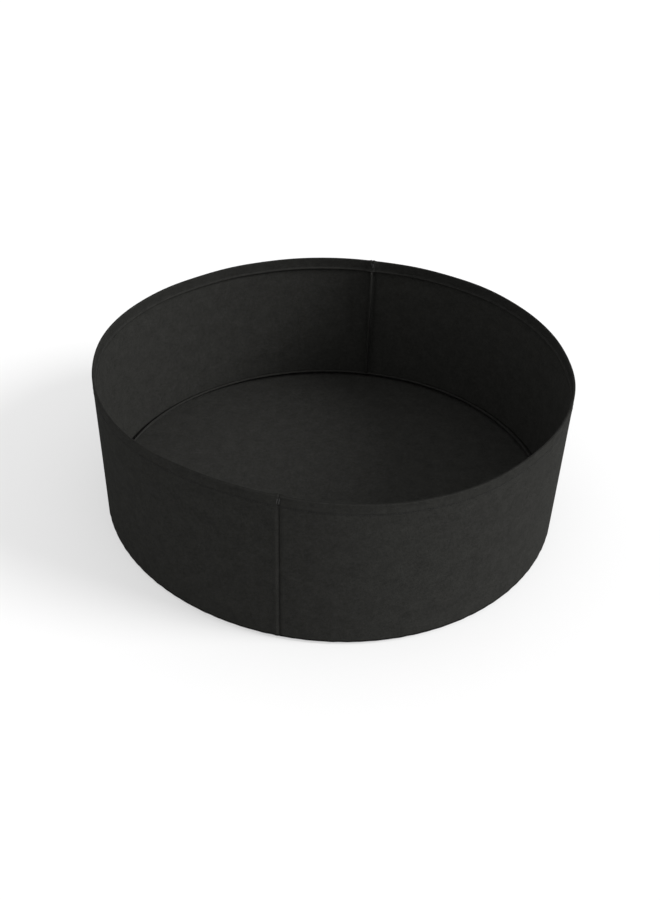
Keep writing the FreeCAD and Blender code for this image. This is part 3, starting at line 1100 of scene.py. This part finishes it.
@dataclass(frozen=True)
class FeltFinish:
    """Needle-punched felt: matted fibres that lie every way, pricked by the needles, in soft blotches.

    Scales are patterns to the metre. large, small and grain are noises, each a scale, a detail and a
    roughness, and lays the fibres' directions in radians with their scales. Pairs of shades multiply the
    colour beside and on a fibre, in a pit as painted shade and beside it, and on plain felt and on felt
    that is compressed or carries painted shade and darkening.
    """

    name: str
    colour: tuple[float, float, float]
    large: tuple[float, float, float] = (38.0, 3.0, 0.55)
    large_blotch: float = 0.5
    small: tuple[float, float, float] = (130.0, 3.0, 0.6)
    small_blotch: float = 0.6
    grain: tuple[float, float, float] = (1500.0, 2.0, 0.6)
    pit_scale: float = 460.0
    pit_scatter: float = 0.85
    pit_width: float = 0.35
    pit_slope: float = 0.4
    lays: tuple[tuple[float, float], ...] = ((0.3, 1500.0), (1.1, 1900.0), (1.9, 1400.0), (2.7, 1700.0))
    fibre_shades: tuple[float, float] = (0.825, 1.5)
    pit_shades: tuple[float, float] = (0.82, 1.02)
    compression_and_shade_tones: tuple[float, float] = (1.0, 0.45)
    roughness: tuple[float, float] = (0.95, 0.83)
    specular: float = 0.03
    fibre_height: float = 0.55
    grain_height: float = 0.5
    pit_height: float = 0.35
    blotch_height: float = 1.2
    relief: float = 0.35 * MM
    bump: float = 0.8
    wander: float = 6 * MM
    wander_scale: float = 160.0
    fibre_stretch: float = 9.0
    fibre_width: float = 0.07

    def material(self) -> bpy.types.Material:
        """Lays out the finish.

        Returns:
            The material.
        """
        material = bpy.data.materials.new(self.name)
        graph = Graph(material)
        cloth = graph.node("UVMap", {}, uv_map="cloth").outputs[0]
        # Compression, painted shade and darkening laid on the felt.
        pressed_and_shaded = graph.node("Attribute", {}, attribute_name="pressed_and_shaded").outputs["Fac"]
        fibres, *others = [self.strands(graph, cloth, *lay) for lay in self.lays]
        for other in others:
            fibres = graph.math("MAXIMUM", fibres, other)
        large, small, grain = (graph.noise(cloth, *noise) for noise in (self.large, self.small, self.grain))
        scattered = {"Vector": cloth, "Scale": self.pit_scale, "Randomness": self.pit_scatter}
        pits = graph.node("TexVoronoi", scattered).outputs["Distance"]
        shade = graph.vary(graph.vary(1.0, large, self.large_blotch), small, self.small_blotch)
        shade = graph.math("MULTIPLY", shade, graph.ranged(fibres, 1.0, self.fibre_shades))
        # Painted shade in the needle pits, a little lighter beside them.
        shade = graph.math("MULTIPLY", shade, graph.ranged(pits, self.pit_width, self.pit_shades))
        # Darker where the felt is compressed and where painted shade and darkening lie on it.
        shade = graph.math("MULTIPLY", shade, graph.ranged(pressed_and_shaded, 1.0, self.compression_and_shade_tones))
        colour = graph.node("VectorMath", {0: self.colour, "Scale": shade}, operation="SCALE").outputs[0]
        height = graph.math("MULTIPLY", grain, self.grain_height)
        height = graph.math("MULTIPLY_ADD", fibres, self.fibre_height, height)
        pit_floor = graph.ranged(pits, self.pit_slope, (0.0, 1.0))
        height = graph.math("MULTIPLY_ADD", pit_floor, self.pit_height, height)
        height = graph.math("MULTIPLY_ADD", small, self.blotch_height, height)
        bump = graph.node("Bump", {"Height": height, "Strength": self.bump, "Distance": self.relief})
        shader = graph.node("BsdfPrincipled", {
            "Base Color": colour,
            "Roughness": graph.ranged(pressed_and_shaded, 1.0, self.roughness),
            "Specular IOR Level": self.specular,
            "Normal": bump.outputs[0],
        })
        graph.node("OutputMaterial", {"Surface": shader.outputs[0]})
        return material

    def strands(self, graph: Graph, cloth: object, turn: float, scale: float) -> bpy.types.NodeSocket:
        """Thin strands that wander about one direction.

        Args:
            graph: The material's nodes.
            cloth: The coordinates on the cut.
            turn: The direction, in radians.
            scale: How many strands lie side by side in a metre.

        Returns:
            One on a strand and zero beside it.
        """
        noise = graph.node("TexNoise", {"Vector": cloth, "Scale": self.wander_scale, "Detail": 1.0})
        moved = {0: noise.outputs["Color"], 1: (self.wander, self.wander, 0.0), 2: cloth}
        laid = graph.node("Mapping", {
            "Vector": graph.node("VectorMath", moved, operation="MULTIPLY_ADD").outputs[0],
            "Rotation": (0.0, 0.0, turn),
            "Scale": (self.fibre_stretch / scale, 1 / scale, 1.0),
        }, vector_type="TEXTURE")
        off_line = graph.math("ABSOLUTE", graph.vary(0.0, graph.noise(laid.outputs[0], 1.0, 1), 1.0))
        return graph.ranged(off_line, self.fibre_width, (1.0, 0.0))


@dataclass(frozen=True)
class ThreadFinish:
    """Twisted polyester thread. Its shades multiply the colour: painted shade between plies, painted
    highlight on them.
    """

    name: str
    colour: float
    shades: tuple[float, float] = (0.7, 1.15)
    roughness: float = 0.6
    specular: float = 0.2
    plies: float = 900.0
    relief: float = 0.1 * MM
    bump: float = 0.6

    def material(self) -> bpy.types.Material:
        """Lays out the finish.

        Returns:
            The material.
        """
        material = bpy.data.materials.new(self.name)
        graph = Graph(material)
        cloth = graph.node("UVMap", {}, uv_map="cloth").outputs[0]
        twisted = {"Vector": cloth, "Scale": self.plies / math.tau}
        wave = graph.node("TexWave", twisted, bands_direction="DIAGONAL").outputs["Fac"]
        bump = graph.node("Bump", {"Height": wave, "Strength": self.bump, "Distance": self.relief})
        # The colour follows the plies: painted shade between them and painted highlight on them.
        shader = graph.node("BsdfPrincipled", {
            "Base Color": graph.ranged(wave, 1.0, tuple(self.colour * shade for shade in self.shades)),
            "Roughness": self.roughness,
            "Specular IOR Level": self.specular,
            "Normal": bump.outputs[0],
        })
        graph.node("OutputMaterial", {"Surface": shader.outputs[0]})
        return material


# ---------------- studio


@dataclass(frozen=True)
class Lamp:
    """A distant soft lamp. azimuth and elevation say where it shines from, and angle how wide it looks."""

    name: str
    strength: float
    azimuth: float
    elevation: float
    angle: float

    def build(self) -> None:
        """Makes the lamp and turns it, so that it shines from where its angles say."""
        lamp = bpy.data.lights.new(self.name, "SUN")
        lamp.energy = self.strength
        lamp.angle = math.radians(self.angle)
        light = bpy.data.objects.new(self.name, lamp)
        turn, rise = math.radians(self.azimuth), math.radians(self.elevation)
        towards = Vector((math.sin(turn) * math.cos(rise), -math.cos(turn) * math.cos(rise), math.sin(rise)))
        light.rotation_euler = towards.to_track_quat("Z", "Y").to_euler()
        bpy.context.scene.collection.objects.link(light)


@dataclass(frozen=True)
class Studio:
    """A white floor and backdrop, even light from all round and one soft lamp from the right."""

    surround: float = 0.85
    lamp: Lamp = Lamp("lamp", 1.06 * math.pi, 79.0, 32.0, 25.0)
    floor_half: float = 20.0
    floor_white: float = 0.4
    floor_glow: float = 0.5

    def build(self) -> None:
        """Makes the floor, the lamp and the world."""
        self.floor()
        self.lamp.build()
        self.world()

    def floor(self) -> None:
        """Makes a flat floor that shines a little to the camera, so that it is white but holds a shadow."""
        mesh = bpy.data.meshes.new("floor")
        half = self.floor_half
        corners = [(-half, -half, 0), (half, -half, 0), (half, half, 0), (-half, half, 0)]
        mesh.from_pydata(corners, [], [(0, 1, 2, 3)])
        material = bpy.data.materials.new("studio floor")
        graph = Graph(material)
        seen = graph.node("LightPath", {}).outputs["Is Camera Ray"]
        glow = graph.node("Emission", {"Strength": graph.math("MULTIPLY", seen, self.floor_glow)})
        matt = graph.node("BsdfDiffuse", {"Color": (*[self.floor_white] * 3, 1)})
        both = graph.node("AddShader", {0: matt.outputs[0], 1: glow.outputs[0]})
        graph.node("OutputMaterial", {"Surface": both.outputs[0]})
        mesh.materials.append(material)
        floor = bpy.data.objects.new("floor", mesh)
        bpy.context.scene.collection.objects.link(floor)

    def world(self) -> None:
        """Makes a white world that is dimmer as a light than where it is seen or mirrored."""
        world = bpy.data.worlds.new("studio")
        graph = Graph(world)
        path = graph.node("LightPath", {})
        seen = path.outputs["Is Camera Ray"]
        for name in ("Is Glossy Ray", "Is Transmission Ray"):
            seen = graph.math("MAXIMUM", seen, path.outputs[name])
        strength = graph.math("MULTIPLY_ADD", seen, 1 - self.surround, self.surround)
        light = graph.node("Background", {"Color": (1, 1, 1, 1), "Strength": strength})
        graph.node("OutputWorld", {"Surface": light.outputs[0]})
        bpy.context.scene.world = world


@dataclass(frozen=True)
class Viewpoint:
    """The camera: in front of the bag and above it, tipped down and a little to one side.

    back and up are in radii of the bag, up from its rim, and the angles are in degrees.
    """

    back: float = 3.58
    up: float = 2.009
    pitch: float = 34.84
    yaw: float = -0.16
    roll: float = 1.75
    lens: float = 38.96
    sensor: float = 36.0
    furthest: float = 100.0

    def build(self, sizes: BagSizes) -> None:
        """Makes the camera.

        Args:
            sizes: The bag's sizes.
        """
        pitch, yaw, roll = (math.radians(a) for a in (self.pitch, self.yaw, self.roll))
        ahead = Vector((math.sin(yaw) * math.cos(pitch), math.cos(yaw) * math.cos(pitch), -math.sin(pitch)))
        right = ahead.cross(Vector((0, 0, 1))).normalized()
        up = right.cross(ahead)
        tipped_right = math.cos(roll) * right + math.sin(roll) * up
        tipped_up = math.cos(roll) * up - math.sin(roll) * right
        data = bpy.data.cameras.new("camera")
        data.lens = self.lens
        data.sensor_width = self.sensor
        data.clip_end = self.furthest
        camera = bpy.data.objects.new("camera", data)
        place = Vector((0, -self.back * sizes.radius, sizes.height + self.up * sizes.radius))
        turned = Matrix((tipped_right, tipped_up, -ahead)).transposed().to_4x4()
        camera.matrix_world = Matrix.Translation(place) @ turned
        bpy.context.scene.collection.objects.link(camera)
        bpy.context.scene.camera = camera


def main() -> None:
    """Builds the bag's pieces in order, then the studio and the camera."""
    logging.basicConfig(level=logging.INFO, format="%(message)s")
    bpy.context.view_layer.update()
    sizes = BagSizes.from_frame()
    shape = BagShape(sizes)
    wall_felt = FeltFinish("wall felt", (0.0184, 0.0184, 0.0171)).material()
    base_felt = FeltFinish("base felt", (0.018, 0.018, 0.0168)).material()
    thread = ThreadFinish("sewing thread", 0.016).material()
    # The same thread made lighter: painted highlight on the bartacks' strokes.
    lit_tack_thread = ThreadFinish("bartack thread", 0.055).material()
    for side in Side:
        WallPanel(shape, side, wall_felt).build()
    BasePanel(shape, base_felt).build()
    Sewing(shape, thread, lit_tack_thread).build()
    Studio().build()
    Viewpoint().build(sizes)
    bpy.context.scene.view_settings.view_transform = "Standard"


if __name__ == "__main__":
    main()
